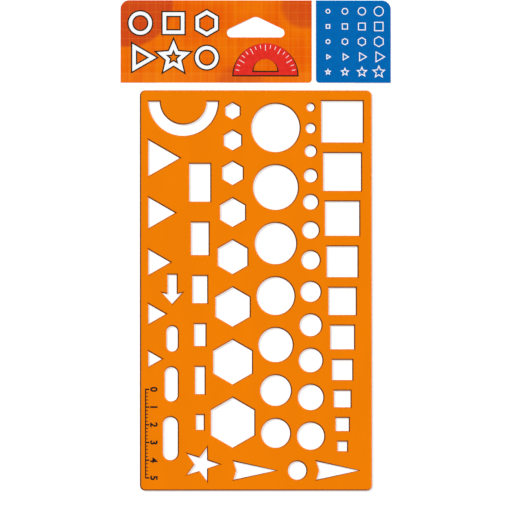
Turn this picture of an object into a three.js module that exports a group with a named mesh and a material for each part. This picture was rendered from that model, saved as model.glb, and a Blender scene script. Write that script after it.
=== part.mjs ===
// A shape template for technical drawing, with the printed board card that it hangs by.
// Millimetres. The sheet lies on its back with its front face up, along +Z, and +Y runs up the sheet
// towards the card. The origin is under the middle of the whole, level with the card's underside.
import * as THREE from "three";

// Sheet. Its width and length follow from the cut-outs, the webs between them and these margins.
const sheetThickness = 1.5;
const sheetCornerRadius = 3;
const leftMargin = 4.5;
const rightMargin = 4.8;
const bottomMargin = 4.4;

// Sizes of cut-outs are over the eased rim of the front face. The opening is smaller by this all round.
const rimEase = 0.35;

// Half ring at the top left, with its open side up.
const ringOuterRadius = 20;
const ringInnerRadius = 13;
const ringTopMargin = 6.1;

// Equilateral triangles, each with its back to the left margin.
const triangleSides = [21.5, 18.5, 15.4, 12.4, 9.8];
const firstTriangleGap = 1.5;
const triangleGap = 11;

// Arrow that points down the sheet, on the axis of the first slot.
const arrowLength = 17.25;
const arrowHeadLength = 7.25;
const arrowHeadWidth = 13.3;
const arrowShaftWidth = 5.8;
const arrowBarbSweep = 0.85;

// Round-ended slots, with their right sides in line.
const slotWidths = [7, 8, 9];
const slotLengths = [15, 20, 25];
const slotSideInset = 17.2;
const slotGap = 8.2;

// Triangles, arrow and slots take turns: each starts this far past the end of the one above it.
const arrowAfterTriangle = -1;
const triangleAfterArrow = -0.9;
const slotAfterTriangle = 0.3;
const triangleAfterSlot = -1;
const longSlotAfterTriangle = -0.6;

// Upright rectangles below the half ring. A column's web is the least width of solid sheet between it
// and the cut-outs on its left.
const rectangleWidths = [12.5, 10.6, 9, 7, 6, 5];
const rectangleHeights = [22, 19, 16, 13, 16, 9];
const firstRectangleGap = 15.2;
const rectangleGap = 11.2;
const rectangleWeb = 4.55;

// Hexagons across their corners, in a small run and a large run.
const smallHexagons = [10, 12, 14];
const largeHexagons = [17, 20, 23, 26, 29];
const hexagonTopMargin = 6.7;
const smallHexagonGap = 5.6;
const largeHexagonGap = 6.7;
const hexagonWeb = 3.48;

// Circles by diameter, in two columns.
const largeCircles = [28, 26, 24, 22, 20, 18, 17];
const largeCircleTopMargin = 7.25;
const largeCircleGap = 6.7;
const largeCircleWeb = 3.25;
const smallCircles = [5, 6, 7, 8, 9, 10, 11, 12, 13, 14, 15, 16];
const smallCircleTopMargin = 7.15;
const smallCircleGap = 6.4;
const smallCircleWeb = 2.82;

// Squares down the right side.
const squareSides = [24, 22, 20, 18, 16, 14, 12, 10, 8, 6];
const squareTopMargin = 5.75;
const squareGap = 5.4;
const squareWeb = 2.89;

// Foot row: a star, a dart, a circle and a second dart. The star lies above the axis of the others.
const starPoints = 5;
const starRadius = 11;
const starInnerRadius = 4.3;
const starLift = 3.5;
const starGap = 4.2;
const dartLength = 26;
const dartWidth = 11.2;
const dartNotch = 1.7;
const firstDartGap = 6.6;
const footCircleDiameter = 11;
const footCircleGap = 4.95;
const secondDartGap = 4.9;
const footRowWeb = 5.9;

// Hang card: stiff board with a plain tab, glued behind the sheet's top margin.
const cardWidth = 153;
const cardHeight = 46.75;
const cardThickness = 0.5;
const cardCornerRadius = 5;
const cardToSheetGap = 4.3;
const glueFilm = 0.1;
const tabSideInset = 10;
const tabToCutoutClearance = 0.75;
const tabCornerRadius = 2;

// Delta-shaped hang slot, as a shop peg takes.
const hangSlotWidth = 32.5;
const hangSlotHeight = 11.5;
const hangSlotEndRadius = 2.6;
const hangSlotApexRadius = 4.7;
const hangSlotTopMargin = 9.5;

// Fineness of arcs, and of the points that a web is measured between.
const circleSegments = 48;
const halfCircleSegments = 26;
const cornerSegments = 8;
const samplesPerOutline = 160;
const samePoint = 1e-6;

const quarterTurn = Math.PI / 2;
const halfTurn = Math.PI;
const fullTurn = 2 * Math.PI;

// Outlines

// The points of a closed path, with each of its arcs in so many segments and no point listed twice.
function outlineOf(path, arcSegments = cornerSegments) {
  const points = path.getPoints(arcSegments / 2);
  return points.filter((point, index) => point.distanceTo(points.at(index - 1)) > samePoint);
}

// Adds a quarter turn about a corner's centre, from the angle where it starts.
function addCorner(path, x, y, radius, start) {
  path.absarc(x, y, radius, start, start + quarterTurn);
}

// Moves the sides of a closed outline inwards, with its corners mitred.
function shrunk(outline, distance) {
  const inwards = THREE.ShapeUtils.isClockWise(outline) ? -distance : distance;
  return outline.map((point, index) => {
    const before = point.clone().sub(outline.at(index - 1)).normalize();
    const after = outline[(index + 1) % outline.length].clone().sub(point).normalize();
    const aside = new THREE.Vector2(-before.y - after.y, before.x + after.x);
    return point.clone().addScaledVector(aside, inwards / (1 + before.dot(after)));
  });
}

function polygon(corners) {
  return outlineOf(new THREE.Path(corners.map(([x, y]) => new THREE.Vector2(x, y))));
}

function circle(diameter) {
  return outlineOf(new THREE.Path().absarc(0, 0, diameter / 2, 0, fullTurn), circleSegments);
}

function rectangle(width, height) {
  const right = width / 2;
  const top = height / 2;
  return polygon([[-right, -top], [right, -top], [right, top], [-right, top]]);
}

// Equal turns about a centre, from the angle where they start.
function equalTurns(count, start) {
  return Array.from({ length: count }, (_, index) => start + (index * fullTurn) / count);
}

function onCircle(radius, turn) {
  return [radius * Math.cos(turn), radius * Math.sin(turn)];
}

// Stands on a corner.
function hexagon(acrossCorners) {
  const sides = 6;
  return polygon(equalTurns(sides, quarterTurn).map((turn) => onCircle(acrossCorners / 2, turn)));
}

// Points right, with its back on x = 0.
function triangle(side) {
  return polygon([[0, -side / 2], [side * Math.sin(halfTurn / 3), 0], [0, side / 2]]);
}

// Upright, with its right side on x = 0.
function slot(width, length) {
  const radius = width / 2;
  const reach = length / 2 - radius;
  const path = new THREE.Path();
  path.absarc(-radius, reach, radius, 0, halfTurn);
  path.absarc(-radius, -reach, radius, halfTurn, fullTurn);
  return outlineOf(path, halfCircleSegments);
}

// Hangs from its centre line, with both ends on y = 0.
function halfRing(outerRadius, innerRadius) {
  const path = new THREE.Path();
  path.absarc(0, 0, outerRadius, halfTurn, fullTurn);
  path.absarc(0, 0, innerRadius, fullTurn, halfTurn, true);
  return outlineOf(path, circleSegments);
}

// Points down from y = 0, with its barbs swept back past the root of its shaft.
function arrow() {
  const barb = arrowHeadLength - arrowLength;
  const right = [
    [arrowShaftWidth / 2, 0],
    [arrowShaftWidth / 2, barb - arrowBarbSweep],
    [arrowHeadWidth / 2, barb],
  ];
  const left = right.map(([x, y]) => [-x, y]).reverse();
  return polygon([...right, [0, -arrowLength], ...left]);
}

// One of its points is to the right.
function star(points, radius, innerRadius) {
  const tipToValley = halfTurn / points;
  const corners = equalTurns(points, 0).flatMap((tip) => {
    return [onCircle(radius, tip), onCircle(innerRadius, tip + tipToValley)];
  });
  return polygon(corners);
}

// Points right from x = 0, with a shallow notch in its back.
function dart(length, width, notch) {
  return polygon([[0, width / 2], [notch, 0], [0, -width / 2], [length, 0]]);
}

// Delta slot on y = 0: two round ends and a round apex, joined by the straight lines that touch them.
function hangSlot() {
  const endX = hangSlotWidth / 2 - hangSlotEndRadius;
  const endY = hangSlotEndRadius;
  const apexY = hangSlotHeight - hangSlotApexRadius;
  const apart = Math.hypot(endX, apexY - endY);
  const rise = Math.asin((apexY - endY) / apart);
  const slope = rise + Math.asin((hangSlotApexRadius - hangSlotEndRadius) / apart);
  const path = new THREE.Path();
  path.absarc(endX, endY, hangSlotEndRadius, -quarterTurn, quarterTurn - slope);
  path.absarc(0, apexY, hangSlotApexRadius, quarterTurn - slope, quarterTurn + slope);
  path.absarc(-endX, endY, hangSlotEndRadius, quarterTurn + slope, halfTurn + quarterTurn);
  return outlineOf(path, halfCircleSegments);
}

// Places on the sheet: x runs right from its left side, and y runs up from its top side, so that every
// cut-out has a y below zero.

function cutoutOf(outline) {
  const box = new THREE.Box2().setFromPoints(outline);
  const edge = new THREE.Path([...outline, outline[0]]).getSpacedPoints(samplesPerOutline);
  return { outline, box, edge, x: 0, y: 0 };
}

const rightOf = (cutout) => cutout.x + cutout.box.max.x;
const topOf = (cutout) => cutout.y + cutout.box.max.y;
const bottomOf = (cutout) => cutout.y + cutout.box.min.y;

// Sets cut-outs one below the other, each with its own gap below it.
function stackDown(cutouts, top, gaps) {
  let next = top;
  cutouts.forEach((cutout, index) => {
    cutout.y = next - cutout.box.max.y;
    next = bottomOf(cutout) - gaps[index];
  });
}

// Moves a group of cut-outs along one axis, one way, until it keeps a web to every fixed one.
function slideClear(group, fixed, web, along, across, way) {
  let travel = 0;
  for (const mover of group) {
    for (const other of fixed) {
      for (const near of mover.edge) {
        for (const far of other.edge) {
          const aside = near[across] + mover[across] - far[across] - other[across];
          const ahead = far[along] + other[along] - near[along] - mover[along];
          if (Math.abs(aside) < web) {
            travel = Math.max(travel, way * ahead + Math.sqrt(web ** 2 - aside ** 2));
          }
        }
      }
    }
  }
  for (const mover of group) mover[along] += way * travel;
}

// A column of like cut-outs, stacked from its top margin and set beside those on its left.
function columnBeside(outlines, topMargin, gaps, neighbours, web) {
  const column = outlines.map(cutoutOf);
  stackDown(column, -topMargin, gaps);
  slideClear(column, neighbours, web, "x", "y", 1);
  return column;
}

// Half ring, and the triangles, arrow and slots below it

const ring = cutoutOf(halfRing(ringOuterRadius, ringInnerRadius));
ring.x = leftMargin + ringOuterRadius;
ring.y = -ringTopMargin;

const triangles = triangleSides.map((side) => cutoutOf(triangle(side)));
for (const cutout of triangles) cutout.x = leftMargin;

const slotSide = leftMargin + slotSideInset;
const slots = slotWidths.map((width, index) => cutoutOf(slot(width, slotLengths[index])));
for (const cutout of slots) cutout.x = slotSide;

const downArrow = cutoutOf(arrow());
downArrow.x = slotSide - slotWidths[0] / 2;

const [first, second, third, fourth, fifth] = triangles;
const [shortSlot, middleSlot, longSlot] = slots;
const belowRing = [first, second, third, downArrow, fourth, shortSlot, fifth, middleSlot, longSlot];
stackDown(belowRing, bottomOf(ring) - firstTriangleGap, [
  triangleGap,
  triangleGap,
  arrowAfterTriangle,
  triangleAfterArrow,
  slotAfterTriangle,
  triangleAfterSlot,
  longSlotAfterTriangle,
  slotGap,
  0,
]);
const leftSide = [ring, ...belowRing];

// Columns, from left to right

const rectangles = columnBeside(
  rectangleWidths.map((width, index) => rectangle(width, rectangleHeights[index])),
  firstRectangleGap - bottomOf(ring),
  rectangleWidths.map(() => rectangleGap),
  leftSide,
  rectangleWeb,
);

const hexagons = columnBeside(
  [...smallHexagons, ...largeHexagons].map(hexagon),
  hexagonTopMargin,
  [
    ...smallHexagons.slice(1).map(() => smallHexagonGap),
    ...largeHexagons.map(() => largeHexagonGap),
    0,
  ],
  [...leftSide, ...rectangles],
  hexagonWeb,
);

const largeCircleColumn = columnBeside(
  largeCircles.map(circle),
  largeCircleTopMargin,
  largeCircles.map(() => largeCircleGap),
  hexagons,
  largeCircleWeb,
);

const smallCircleColumn = columnBeside(
  smallCircles.map(circle),
  smallCircleTopMargin,
  smallCircles.map(() => smallCircleGap),
  largeCircleColumn,
  smallCircleWeb,
);

const squares = columnBeside(
  squareSides.map((side) => rectangle(side, side)),
  squareTopMargin,
  squareSides.map(() => squareGap),
  smallCircleColumn,
  squareWeb,
);

// Foot row, slid down below the columns

const footStar = cutoutOf(star(starPoints, starRadius, starInnerRadius));
footStar.x = slotSide + starGap - footStar.box.min.x;
footStar.y = starLift;
const firstDart = cutoutOf(dart(dartLength, dartWidth, dartNotch));
firstDart.x = rightOf(footStar) + firstDartGap;
const footCircle = cutoutOf(circle(footCircleDiameter));
footCircle.x = rightOf(firstDart) + footCircleGap + footCircleDiameter / 2;
const secondDart = cutoutOf(dart(dartLength, dartWidth, dartNotch));
secondDart.x = rightOf(footCircle) + secondDartGap;

const footRow = [footStar, firstDart, footCircle, secondDart];
const columns = [...rectangles, ...hexagons, ...largeCircleColumn, ...smallCircleColumn, ...squares];
slideClear(footRow, columns, footRowWeb, "y", "x", -1);

// Sheet

const cutouts = [...leftSide, ...columns, ...footRow];
const sheetWidth = Math.max(...cutouts.map(rightOf)) + rightMargin;
const sheetLength = bottomMargin - Math.min(...cutouts.map(bottomOf));
const topMargin = -Math.max(...cutouts.map(topOf));

function sheetShape() {
  const left = sheetCornerRadius;
  const right = sheetWidth - sheetCornerRadius;
  const top = -sheetCornerRadius;
  const bottom = sheetCornerRadius - sheetLength;
  const path = new THREE.Path();
  addCorner(path, right, top, sheetCornerRadius, 0);
  addCorner(path, left, top, sheetCornerRadius, quarterTurn);
  addCorner(path, left, bottom, sheetCornerRadius, halfTurn);
  addCorner(path, right, bottom, sheetCornerRadius, -quarterTurn);
  const shape = new THREE.Shape(outlineOf(path));
  shape.holes = cutouts.map(({ outline, x, y }) => {
    const place = new THREE.Vector2(x, y);
    return new THREE.Path(shrunk(outline, rimEase).map((point) => point.add(place)));
  });
  return shape;
}

const sheetPlastic = new THREE.MeshStandardMaterial({ color: 0xee7f00, roughness: 0.35, metalness: 0 });
const sheet = new THREE.Mesh(
  new THREE.ExtrudeGeometry(sheetShape(), { depth: sheetThickness, bevelEnabled: false }),
  sheetPlastic,
);
sheet.name = "template_sheet";

// Hang card. Its printed face stands on y = 0, and its tab hangs below that.

function cardShape() {
  const side = cardWidth / 2;
  const cornerX = side - cardCornerRadius;
  const cornerY = cardHeight - cardCornerRadius;
  const tabSide = sheetWidth / 2 - tabSideInset;
  const tabReach = topMargin - tabToCutoutClearance;
  const tabCornerX = tabSide - tabCornerRadius;
  const tabCornerY = tabCornerRadius - cardToSheetGap - tabReach;
  const path = new THREE.Path();
  path.moveTo(-side, 0);
  path.lineTo(-tabSide, 0);
  addCorner(path, -tabCornerX, tabCornerY, tabCornerRadius, halfTurn);
  addCorner(path, tabCornerX, tabCornerY, tabCornerRadius, -quarterTurn);
  path.lineTo(tabSide, 0);
  path.lineTo(side, 0);
  addCorner(path, cornerX, cornerY, cardCornerRadius, 0);
  addCorner(path, -cornerX, cornerY, cardCornerRadius, quarterTurn);
  const shape = new THREE.Shape(outlineOf(path));
  const slotFoot = new THREE.Vector2(0, cardHeight - hangSlotTopMargin - hangSlotHeight);
  shape.holes = [new THREE.Path(hangSlot().map((point) => point.add(slotFoot)))];
  return shape;
}

const printedBoard = new THREE.MeshStandardMaterial({ color: 0xf4f3ef, roughness: 0.55, metalness: 0 });
const card = new THREE.Mesh(
  new THREE.ExtrudeGeometry(cardShape(), { depth: cardThickness, bevelEnabled: false }),
  printedBoard,
);
card.name = "hang_card";

// Assembly: the sheet lies on the card's tab.

const overallLength = sheetLength + cardToSheetGap + cardHeight;
const sheetTop = sheetLength - overallLength / 2;
sheet.position.set(-sheetWidth / 2, sheetTop, cardThickness + glueFilm);
card.position.set(0, sheetTop + cardToSheetGap, 0);

const template = new THREE.Group();
template.add(sheet, card);

export default template;
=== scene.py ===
"""A drawing template of orange plastic, with the printed card that it hangs by."""
import math

import bmesh
import bpy
from mathutils import Matrix, Vector


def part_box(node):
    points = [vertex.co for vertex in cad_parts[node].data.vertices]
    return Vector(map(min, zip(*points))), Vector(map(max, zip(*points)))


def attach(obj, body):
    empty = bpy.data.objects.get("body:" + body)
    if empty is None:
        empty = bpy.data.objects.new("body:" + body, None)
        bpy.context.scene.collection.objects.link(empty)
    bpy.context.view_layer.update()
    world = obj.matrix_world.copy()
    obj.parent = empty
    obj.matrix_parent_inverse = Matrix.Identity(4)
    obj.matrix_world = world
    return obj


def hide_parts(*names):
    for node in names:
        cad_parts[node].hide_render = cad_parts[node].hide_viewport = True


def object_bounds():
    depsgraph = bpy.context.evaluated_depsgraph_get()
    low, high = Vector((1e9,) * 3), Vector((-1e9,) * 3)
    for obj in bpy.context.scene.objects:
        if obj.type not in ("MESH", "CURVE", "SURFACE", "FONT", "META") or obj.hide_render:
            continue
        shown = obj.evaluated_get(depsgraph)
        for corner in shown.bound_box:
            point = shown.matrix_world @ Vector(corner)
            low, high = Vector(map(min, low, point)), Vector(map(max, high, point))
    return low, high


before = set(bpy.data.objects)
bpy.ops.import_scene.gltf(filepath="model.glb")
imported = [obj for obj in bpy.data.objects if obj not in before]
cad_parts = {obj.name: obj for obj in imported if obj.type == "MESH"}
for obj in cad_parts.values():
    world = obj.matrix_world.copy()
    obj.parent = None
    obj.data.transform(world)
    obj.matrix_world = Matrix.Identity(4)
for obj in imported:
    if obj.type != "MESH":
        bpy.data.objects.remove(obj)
cad_low, cad_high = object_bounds()

# Template sheet
# One flat moulding of opaque orange plastic, with its cut-outs formed in the same shot and every rim eased
# by the mould. Its faces have a polished skin with the faint lie of the flow and fine scratches from
# handling. Its walls and rims are painted a deeper brown than the faces: painted shade that darkens them.

mm = 0.001
front_bevel = 0.7 * mm
back_bevel = 0.2 * mm
sharp_turn = math.radians(35)
tightest_mitre = 0.25
same_spot = 0.001 * mm
face_tilt = 0.9
wall_tilt = 0.1
sheet_low, sheet_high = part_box("template_sheet")


def rims_of(node):
    """The closed outlines of a flat node's upper face, each in order with the solid on its left."""
    part = bmesh.new()
    part.from_mesh(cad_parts[node].data)
    bmesh.ops.remove_doubles(part, verts=part.verts[:], dist=same_spot)
    upper_faces = [face for face in part.faces if face.normal.z > face_tilt]
    following = {}
    for face in upper_faces:
        for loop in face.loops:
            if any(abs(other.normal.z) < wall_tilt for other in loop.edge.link_faces):
                following[loop.vert] = loop.link_loop_next.vert
    outlines = []
    while following:
        corner, after = following.popitem()
        outline = [corner.co.xy]
        while after in following:
            outline.append(after.co.xy)
            after = following.pop(after)
        outlines.append(outline)
    part.free()
    return outlines


def set_in(outline, distance):
    """The same outline moved into the solid on its left, with its corners mitred, less so at narrow tips."""
    moved = []
    for index, corner in enumerate(outline):
        before = (corner - outline[index - 1]).normalized()
        after = (outline[(index + 1) % len(outline)] - corner).normalized()
        aside = Vector((-before.y - after.y, before.x + after.x))
        moved.append(corner + aside * (distance / max(1 + before.dot(after), tightest_mitre)))
    return moved


def plate(outlines, levels):
    """A closed plate of outlines, set in by so much at each height, with those inside others left open."""
    mesh = bmesh.new()
    face_edges = ([], [])
    for outline in outlines:
        rings = [[mesh.verts.new((*corner, height)) for corner in set_in(outline, inset)]
                 for inset, height in levels]
        for lower, upper in zip(rings, rings[1:]):
            for index in range(len(outline)):
                strip = mesh.faces.new((lower[index - 1], lower[index], upper[index], upper[index - 1]))
                strip.smooth = True
        for ring, edges in ((rings[0], face_edges[0]), (rings[-1], face_edges[1])):
            edges += [mesh.edges.get((ring[index - 1], ring[index])) for index in range(len(ring))]
    mesh.normal_update()
    for edge in mesh.edges:
        edge.smooth = len(edge.link_faces) == 2 and edge.calc_face_angle() < sharp_turn
    for edges, normal in zip(face_edges, ((0, 0, -1), (0, 0, 1))):
        bmesh.ops.triangle_fill(mesh, edges=edges, use_beauty=True, normal=normal)
    return mesh


def new_piece(name, mesh, body, finish):
    """A piece made of a finished mesh, in its material, that moves with a body."""
    bmesh.ops.recalc_face_normals(mesh, faces=mesh.faces[:])
    data = bpy.data.meshes.new(name)
    mesh.to_mesh(data)
    mesh.free()
    data.materials.append(finish)
    piece = bpy.data.objects.new(name, data)
    bpy.context.scene.collection.objects.link(piece)
    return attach(piece, body)


def colour(red, green, blue):
    """A colour given as it looks on a screen, from 0 to 255, in the values that a shader takes."""
    levels = [level / 255 for level in (red, green, blue)]
    return tuple(x / 12.92 if x <= 0.04045 else ((x + 0.055) / 1.055) ** 2.4 for x in levels) + (1.0,)


class Wire:
    """The output of a shader node. Sums of wires and numbers add Math nodes, and node() adds any other."""

    def __init__(self, tree, socket=None):
        self.tree = tree
        self.socket = socket

    def node(self, kind, settings=None, sockets=None, output=0):
        """Any node, with its settings made first and then the values or wires of its sockets."""
        made = self.tree.nodes.new(kind)
        for name, value in (settings or {}).items():
            setattr(made, name, value)
        for name, value in (sockets or {}).items():
            if isinstance(value, Wire):
                self.tree.links.new(value.socket, made.inputs[name])
            else:
                made.inputs[name].default_value = value
        return Wire(self.tree, made.outputs[output])

    def math(self, operation, left, right=0.0):
        """A Math node on two numbers or wires."""
        return self.node("ShaderNodeMath", {"operation": operation}, {0: left, 1: right})

    def __add__(self, other):
        return self.math("ADD", self, other)

    def __radd__(self, other):
        return self.math("ADD", other, self)

    def __sub__(self, other):
        return self.math("SUBTRACT", self, other)

    def __rsub__(self, other):
        return self.math("SUBTRACT", other, self)

    def __mul__(self, other):
        return self.math("MULTIPLY", self, other)

    def __rmul__(self, other):
        return self.math("MULTIPLY", other, self)

    def __abs__(self):
        return self.math("ABSOLUTE", self)

    def along(self, axis):
        """One of the three numbers of a place or a direction."""
        return self.node("ShaderNodeSeparateXYZ", None, {0: self}, axis)

    def stretched(self, *shares):
        """A place with each of its three numbers multiplied."""
        return self.node("ShaderNodeVectorMath", {"operation": "MULTIPLY"}, {0: self, 1: shares})

    def mottle(self, scale, detail=2.0):
        """Soft patches over a place, so many to its unit, around one half."""
        return self.node("ShaderNodeTexNoise", None, {"Vector": self, "Scale": scale, "Detail": detail})

    def rise(self, low, high):
        """0 up to low and 1 from high, with a smooth climb between."""
        settings = {"interpolation_type": "SMOOTHSTEP"}
        return self.node("ShaderNodeMapRange", settings, {"Value": self, "From Min": low, "From Max": high})

    def between(self, first, second):
        """One colour where this wire is 0, and the other where it is 1."""
        return self.node("ShaderNodeMix", {"data_type": "RGBA"}, {0: self, 6: first, 7: second}, 2)

    def bump(self, depth):
        """The surface raised by this wire, as far as depth where it is 1."""
        return self.node("ShaderNodeBump", None, {"Strength": 1.0, "Distance": depth, "Height": self})

    def into(self, shader, socket):
        """Joins this wire to a socket of a shader."""
        self.tree.links.new(self.socket, shader.inputs[socket])


def new_finish(name, **constants):
    """A material, its shader with the sockets that don't vary, and the place on it in millimetres."""
    finish = bpy.data.materials.new(name)
    finish.use_nodes = True
    shader = finish.node_tree.nodes["Principled BSDF"]
    for socket, value in constants.items():
        shader.inputs[socket.replace("_", " ")].default_value = value
    start = Wire(finish.node_tree)
    place = start.node("ShaderNodeTexCoord", output="Object").stretched(1 / mm, 1 / mm, 1 / mm)
    return finish, shader, place


def walls(place, low, high):
    """1 on upright walls and 0 on level faces, with a smooth climb over the slopes between."""
    return 1 - abs(place.node("ShaderNodeTexCoord", output="Normal").along("Z")).rise(low, high)


face_orange = colour(232, 122, 0)
flow_orange = colour(229, 120, 0)
painted_shade_brown = colour(140, 66, 0)
plastic, skin, place = new_finish("orange_plastic", IOR=1.5, Specular_IOR_Level=0.25)
# Painted shade: the walls and sloped rims are coloured a darker brown than the faces, on all sides alike.
painted_wall_shade = walls(place, 0.42, 0.93)
flow = place.stretched(1, 0.35, 1).mottle(0.06, 3).rise(0.35, 0.65)
painted_wall_shade.between(flow.between(face_orange, flow_orange), painted_shade_brown).into(skin, "Base Color")
scratches = place.stretched(9, 0.25, 1).mottle(1.2, 4).rise(0.6, 0.72)
rubbed = place.mottle(0.05, 4).rise(0.4, 0.65)
(0.3 + 0.08 * rubbed + 0.07 * scratches + 0.3 * painted_wall_shade).into(skin, "Roughness")
(place.mottle(0.9, 2) - 0.3 * scratches).bump(0.003 * mm).into(skin, "Normal")

levels = ((back_bevel, sheet_low.z), (0, sheet_low.z + back_bevel),
          (0, sheet_high.z - front_bevel), (front_bevel, sheet_high.z))
moulding = plate(rims_of("template_sheet"), levels)
sheet = new_piece("template_sheet_moulding", moulding, "sheet", plastic)
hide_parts("template_sheet")

# Scale on the margin
# Black screen print on the left margin, beside the two long slots: a scale of 50 mm in steps of 2 mm, with
# a plain number at each centimetre. It is read with the sheet turned, so its figures lie on their sides.

ink_height = 0.02 * mm
scale_left = 2.9 * mm
scale_top = -81.5 * mm
scale_length = 50
step_length = 2
centimetre = 10
spine_width = 0.6 * mm
tick_width = 0.5 * mm
tick_reach = 1.6 * mm
long_tick_width = 0.8 * mm
long_tick_reach = 2.4 * mm
figure_left = 5.8 * mm
figure_height = 4.2 * mm
figure_weight = 0.035
figure_seam = 1e-5


def film(outlines, foot, top):
    """A film of ink between two heights, with upright edges."""
    return plate([[Vector(corner) for corner in outline] for outline in outlines], ((0, foot), (0, top)))


def figure(number):
    """A plain numeral as a closed film, one unit high on its base line, with its middle on x = 0."""
    text = bpy.data.curves.new("figure", "FONT")
    text.body = str(number)
    text.offset = figure_weight
    text.extrude = 0.5
    holder = bpy.data.objects.new("figure", text)
    bpy.context.scene.collection.objects.link(holder)
    bpy.context.view_layer.update()
    data = bpy.data.meshes.new_from_object(holder.evaluated_get(bpy.context.evaluated_depsgraph_get()))
    mesh = bmesh.new()
    mesh.from_mesh(data)
    bpy.data.objects.remove(holder)
    bpy.data.curves.remove(text)
    bpy.data.meshes.remove(data)
    bmesh.ops.remove_doubles(mesh, verts=mesh.verts[:], dist=figure_seam)
    xs = [vert.co.x for vert in mesh.verts]
    ys = [vert.co.y for vert in mesh.verts]
    middle = Vector((-0.5 * (min(xs) + max(xs)), -min(ys), 0.5))
    bmesh.ops.translate(mesh, verts=mesh.verts[:], vec=middle)
    share = 1 / (max(ys) - min(ys))
    bmesh.ops.scale(mesh, verts=mesh.verts[:], vec=(share, share, 1))
    return mesh


def flat_ink(name, first, second, scale=3):
    """A printing ink that varies between two colours in soft patches, so many to a millimetre."""
    ink, shader, place = new_finish(name, IOR=1.5, Specular_IOR_Level=0.3)
    cover = place.mottle(scale, 3).rise(0.3, 0.7)
    cover.between(first, second).into(shader, "Base Color")
    (0.3 + 0.12 * cover).into(shader, "Roughness")
    return ink


black_print = flat_ink("black_print", colour(16, 17, 20), colour(26, 26, 28))

margin = sheet_low.x + scale_left
spine = margin + spine_width
comb = []
for length in range(0, scale_length + 1, step_length):
    whole = length % centimetre == 0
    half = 0.5 * (long_tick_width if whole else tick_width)
    reach = margin + (long_tick_reach if whole else tick_reach)
    middle = scale_top - length * mm
    comb += [(spine, middle + half), (reach, middle + half), (reach, middle - half), (spine, middle - half)]
comb[0] = (margin, comb[0][1])
comb[-1] = (margin, comb[-1][1])
scale = film([comb], sheet_high.z, sheet_high.z + ink_height)
size = Matrix.Diagonal((figure_height, figure_height, ink_height, 1))
turn = Matrix.Rotation(-0.5 * math.pi, 4, "Z")
for length in range(0, scale_length + 1, centimetre):
    numeral = figure(length // centimetre)
    spot = Vector((sheet_low.x + figure_left, scale_top - length * mm, sheet_high.z))
    numeral.transform(Matrix.Translation(spot) @ turn @ size)
    data = bpy.data.meshes.new("figure")
    numeral.to_mesh(data)
    numeral.free()
    scale.from_mesh(data)
    bpy.data.meshes.remove(data)
new_piece("margin_scale", scale, "sheet", black_print)

# Hang card
# Stiff white board, die-cut with round top corners, a delta slot for a shop peg and a plain tab at its
# foot, which is glued behind the top margin of the sheet. Its face has a smooth coating, and its cut edge
# shows the greyer fibres.

coated_white = colour(252, 252, 250)
fibre_white = colour(244, 243, 238)
cut_grey = colour(226, 222, 212)
board, skin, place = new_finish("coated_board", IOR=1.45)
fibres = place.stretched(1, 0.4, 1).mottle(2.2, 4)
edge = walls(place, 0.3, 0.7)
edge.between(fibres.between(fibre_white, coated_white), cut_grey).into(skin, "Base Color")
(0.45 + 0.2 * edge + 0.1 * fibres).into(skin, "Roughness")
fibres.bump(0.002 * mm).into(skin, "Normal")
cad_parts["hang_card"].material_slots[0].material = board

# Orange panel
# The larger of two panels printed on the card, in oranges that run into soft red discs, with fine streaks
# and a drafting grid in a lighter tint. The print runs off the card's edges and stops at a white strip.

card_low, card_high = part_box("hang_card")
card_height = 46.75 * mm
card_corner = 5 * mm
panel_corner = 2 * mm
strip_left = 31.7 * mm
bleed = 0.06 * mm
print_height = 0.02 * mm
grid_pitch = 5
grid_line = 0.09
band_height = 6
band_edge = 0.2
card_foot = card_high.y - card_height
panel_top = card_high.z + print_height


def arc(x, y, radius, start, end, steps=12):
    """Points along an arc about a centre, between two angles in degrees."""
    turns = [math.radians(start + (end - start) * step / steps) for step in range(steps + 1)]
    return [(x + radius * math.cos(turn), y + radius * math.sin(turn)) for turn in turns]


def grid_lines(along):
    """1 on fine lines at the pitch of the grid, and 0 between them."""
    return 1 - along.math("PINGPONG", along, 0.5 * grid_pitch).rise(grid_line, 2 * grid_line)


red_orange = colour(224, 88, 2)
warm_orange = colour(232, 119, 0)
disc_red = colour(190, 54, 24)
light_orange = colour(240, 146, 42)
orange_print, skin, place = new_finish("orange_print", IOR=1.5, Specular_IOR_Level=0.3)
across = place.along("X") - card_low.x / mm
up = place.along("Y") - card_foot / mm
clouds = place.mottle(0.035, 2)
streaks = place.stretched(1, 0.02, 1).mottle(0.6, 3)
tint = (0.9 * clouds + 0.45 * streaks).rise(0.45, 0.95).between(red_orange, warm_orange)
red_discs = ((4, 46, 27, 2.5, 0.75), (104, 44, 15, 4, 0.6), (68, -4, 17, 6, 0.5))
for disc_across, disc_up, radius, soft, share in red_discs:
    middle = (card_low.x / mm + disc_across, card_foot / mm + disc_up, card_high.z / mm)
    off = place.node("ShaderNodeVectorMath", {"operation": "DISTANCE"}, {0: place, 1: middle}, "Value")
    disc = share * (1 - off.rise(radius - soft, radius))
    tint = disc.between(tint, disc_red)
grid = place.math("MAXIMUM", grid_lines(across), grid_lines(up))
band = 1 - up.rise(band_height - band_edge, band_height)
(0.25 * grid + 0.12 * band).between(tint, light_orange).into(skin, "Base Color")
(0.3 + 0.12 * place.mottle(4, 2)).into(skin, "Roughness")

panel_left = card_low.x + bleed
panel_foot = card_foot + bleed
panel_head = card_high.y - bleed
print_corner = card_corner - bleed
panel = [(panel_left, panel_foot)]
panel += arc(strip_left - panel_corner, panel_foot + panel_corner, panel_corner, -90, 0)
panel += [(strip_left, panel_head)]
panel += arc(card_low.x + card_corner, card_high.y - card_corner, print_corner, 90, 180)
hang_slot = min(rims_of("hang_card"), key=lambda outline: max(x for x, y in outline))
orange_film = film([panel, hang_slot], card_high.z, panel_top)
new_piece("orange_panel_print", orange_film, "card", orange_print)

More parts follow.
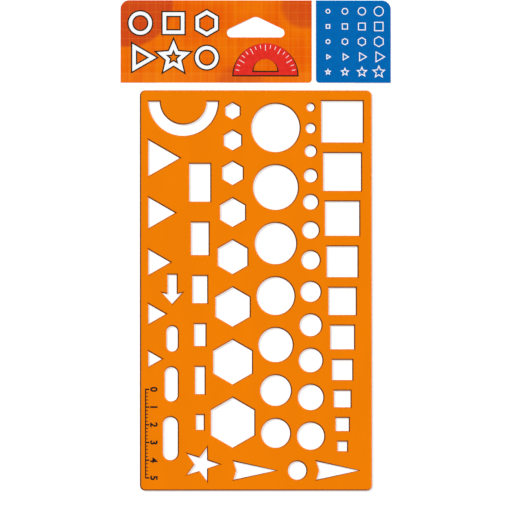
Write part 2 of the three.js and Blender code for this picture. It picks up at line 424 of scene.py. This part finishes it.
# Blue panel
# The smaller printed panel on the right of the white strip, in one flat process blue. It runs off the card's
# edges as the orange one does, and has the same small round corner beside the strip.

blue_left = 34.1 * mm
blue_print = flat_ink("blue_print", colour(0, 95, 166), colour(0, 100, 172), 0.4)

blue_right = card_high.x - bleed
panel = arc(blue_left + panel_corner, panel_foot + panel_corner, panel_corner, 180, 270)
panel += [(blue_right, panel_foot)]
panel += arc(card_high.x - card_corner, card_high.y - card_corner, print_corner, 0, 90)
panel += [(blue_left, panel_head)]
new_piece("blue_panel_print", film([panel], card_high.z, panel_top), "card", blue_print)

# Shape key
# Rows of white outlines, printed over the blue. Each row stands for one kind of cut-out, and shows how its
# sizes rise from left to right.

key_sizes = (1.1, 1.6, 2.1, 2.6)
key_pitch_across = 9.6 * mm
key_pitch_up = 8.6 * mm
key_stroke = 0.5 * mm
key_middle = Vector((0.5 * (blue_left + card_high.x), 0.5 * (card_foot + card_high.y)))


def regular(corners, reach, turn=90, valley=1.0):
    """A regular shape about the origin, with a corner at the turn given and every second one drawn in."""
    points = arc(0, 0, reach, turn, turn + 360 * (corners - 1) / corners, corners - 1)
    return [Vector(point) * (valley if index % 2 else 1) for index, point in enumerate(points)]


def centred(count, pitch):
    """So many places at an even pitch, about zero."""
    return [(index - 0.5 * (count - 1)) * pitch for index in range(count)]


def ring(shape, size, stroke, middle):
    """The two outlines of a line drawn round a shape, half a stroke each side of it."""
    outline = [middle + corner * size for corner in shape]
    return [set_in(outline, -0.5 * stroke), set_in(outline, 0.5 * stroke)]


circle = regular(48, 1)
square = regular(4, 1.3, 45)
hexagon = regular(6, 1.1)
triangle = regular(3, 1.25, 0)
star = regular(10, 1.3, 90, 0.45)

white_print = flat_ink("white_print", colour(236, 237, 239), colour(244, 244, 244))

key_shapes = (circle, square, hexagon, triangle, star)
key = []
for shape, row in zip(key_shapes, centred(len(key_shapes), -key_pitch_up)):
    for size, column in zip(key_sizes, centred(len(key_sizes), key_pitch_across)):
        key += ring(shape, size * mm, key_stroke, key_middle + Vector((column, row)))
new_piece("shape_key", film(key, panel_top, panel_top + print_height), "card", white_print)

# Bold shapes
# Two rows of bold outlines on the left of the orange panel. They are printed in two passes: dark borders
# first, and the white lines over them.

bold_size = 5.6 * mm
bold_stroke = 2.0 * mm
bold_border = 0.8 * mm
bold_pitch_across = 18.8 * mm
bold_pitch_up = 19.5 * mm
bold_middle = Vector((card_low.x + 30 * mm, card_foot + 24 * mm))
bold_rows = ((circle, square, hexagon), (triangle, star, circle))

dark_print = flat_ink("dark_print", colour(40, 26, 18), colour(52, 36, 26))


def bold_rings(stroke):
    """The outlines of lines of one width, drawn round all the bold shapes."""
    outlines = []
    for shapes, row in zip(bold_rows, centred(len(bold_rows), -bold_pitch_up)):
        for shape, column in zip(shapes, centred(len(shapes), bold_pitch_across)):
            outlines += ring(shape, bold_size, stroke, bold_middle + Vector((column, row)))
    return outlines


border_top = panel_top + print_height
borders = film(bold_rings(bold_stroke + 2 * bold_border), panel_top, border_top)
new_piece("bold_borders", borders, "card", dark_print)
shapes = film(bold_rings(bold_stroke), border_top, border_top + print_height)
new_piece("bold_shapes", shapes, "card", white_print)

# Protractor
# A red protractor with white degree marks, printed below the hang slot. It has the same dark border as the
# bold shapes, and stands on the lighter band along the foot of the panel.

protractor_middle = Vector((card_low.x + 82 * mm, card_foot + 4.4 * mm))
protractor_radius = 18 * mm
window_radius = 7.5 * mm
window_lift = 1.6 * mm
mark_step = 10
long_mark_step = 30
mark_width = 0.3 * mm
mark_top = protractor_radius - 0.8 * mm
mark_foot = protractor_radius - 2.8 * mm
long_mark_foot = protractor_radius - 4.2 * mm
outside_steps = 48
window_steps = 32

red_print = flat_ink("red_print", colour(212, 40, 32), colour(222, 48, 38), 0.5)

x, y = protractor_middle
body = arc(x, y, protractor_radius, 0, 180, outside_steps)
window = arc(x, y + window_lift, window_radius, 0, 180, window_steps)
border = arc(x, y - bold_border, protractor_radius + bold_border, 0, 180, outside_steps)
gap = arc(x, y + window_lift + bold_border, window_radius - bold_border, 0, 180, window_steps)
new_piece("protractor_border", film([border, gap], panel_top, border_top), "card", dark_print)
red_top = border_top + print_height
new_piece("protractor", film([body, window], border_top, red_top), "card", red_print)
marks = []
for degrees in range(mark_step, 180, mark_step):
    foot = long_mark_foot if degrees % long_mark_step == 0 else mark_foot
    out = Vector((math.cos(math.radians(degrees)), math.sin(math.radians(degrees))))
    aside = Vector((-out.y, out.x)) * (0.5 * mark_width)
    corners = (out * foot - aside, out * mark_top - aside, out * mark_top + aside, out * foot + aside)
    marks.append([protractor_middle + corner for corner in corners])
new_piece("degree_marks", film(marks, red_top, red_top + print_height), "card", white_print)

# Studio
# A white table is lit from within, as for a packshot, so that shadows on it stay faint, and its glow doesn't
# light the object. One soft light for the object comes from the upper right, and a weaker one for the table
# alone comes from the upper left. The room is dark overhead, which keeps glare off the flat faces.

floor_size = 40.0
floor_drop = 0.05 * mm
object_light_strength = 5.0
object_light_source = (0.64, 0.47, 0.6)
table_light_strength = 2.4
table_light_source = (-0.5, 0.38, 0.78)
light_spread = math.radians(12)
round_about = (0.42, 0.43, 0.45, 1.0)
overhead = (0.06, 0.06, 0.065, 1.0)

floor_finish, skin, place = new_finish("lit_table", Roughness=0.9, Emission_Strength=0.7)
skin.inputs["Emission Color"].default_value = (1.0, 1.0, 1.0, 1.0)
place.mottle(0.002, 2).between(colour(187, 188, 187), colour(190, 190, 189)).into(skin, "Base Color")
ground = bmesh.new()
bmesh.ops.create_grid(ground, x_segments=2, y_segments=2, size=0.5 * floor_size)
data = bpy.data.meshes.new("floor")
ground.to_mesh(data)
ground.free()
data.materials.append(floor_finish)
floor = bpy.data.objects.new("floor", data)
floor.location.z = cad_low.z - floor_drop
floor.visible_diffuse = False
bpy.context.scene.collection.objects.link(floor)


def new_light(name, strength, source):
    """A far light that shines from its source towards the middle of the object."""
    data = bpy.data.lights.new(name, "SUN")
    data.energy = strength
    data.angle = light_spread
    light = bpy.data.objects.new(name, data)
    light.location = source
    light.rotation_euler = (-Vector(source)).to_track_quat("-Z", "Y").to_euler()
    bpy.context.scene.collection.objects.link(light)
    return light


object_light = new_light("object_light", object_light_strength, object_light_source)
table_light = new_light("table_light", table_light_strength, table_light_source)
for light, reach in ((object_light, "EXCLUDE"), (table_light, "INCLUDE")):
    light.visible_glossy = False
    table = bpy.data.collections.new(light.name)
    table.objects.link(floor)
    table.collection_objects[0].light_linking.link_state = reach
    light.light_linking.receiver_collection = table

world = bpy.data.worlds.new("studio")
bpy.context.scene.world = world
world.use_nodes = True
air = Wire(world.node_tree)
height = air.node("ShaderNodeTexCoord", output="Generated").along("Z")
height.rise(0.2, 0.8).between(round_about, overhead).into(world.node_tree.nodes["Background"], "Color")

# Camera
# Close to straight above, as the photograph is, and tipped a little to the lower left, which shows a thin
# line of wall there. It is turned so that the sheet's sides and ends lean alike.

view_width = 289.4 * mm
view_middle = Vector((0.05 * mm, -6.1 * mm, sheet_high.z))
tip = math.radians(2.5)
tip_towards = math.radians(222.7)
lens = 800.0
sensor = 36.0

distance = view_width * lens / sensor
back = Vector((math.sin(tip) * math.cos(tip_towards), math.sin(tip) * math.sin(tip_towards), math.cos(tip)))
across = (Vector((1, 0, 0)) - back * back.x).normalized()
up = (Vector((0, 1, 0)) - back * back.y).normalized()
right = (across + up.cross(back)).normalized()
data = bpy.data.cameras.new("camera")
data.lens = lens
data.sensor_width = sensor
camera = bpy.data.objects.new("camera", data)
turn = Matrix((right, back.cross(right), back)).transposed().to_4x4()
camera.matrix_world = Matrix.Translation(view_middle + back * distance) @ turn
bpy.context.scene.collection.objects.link(camera)
bpy.context.scene.camera = camera
bpy.context.scene.view_settings.view_transform = "Standard"
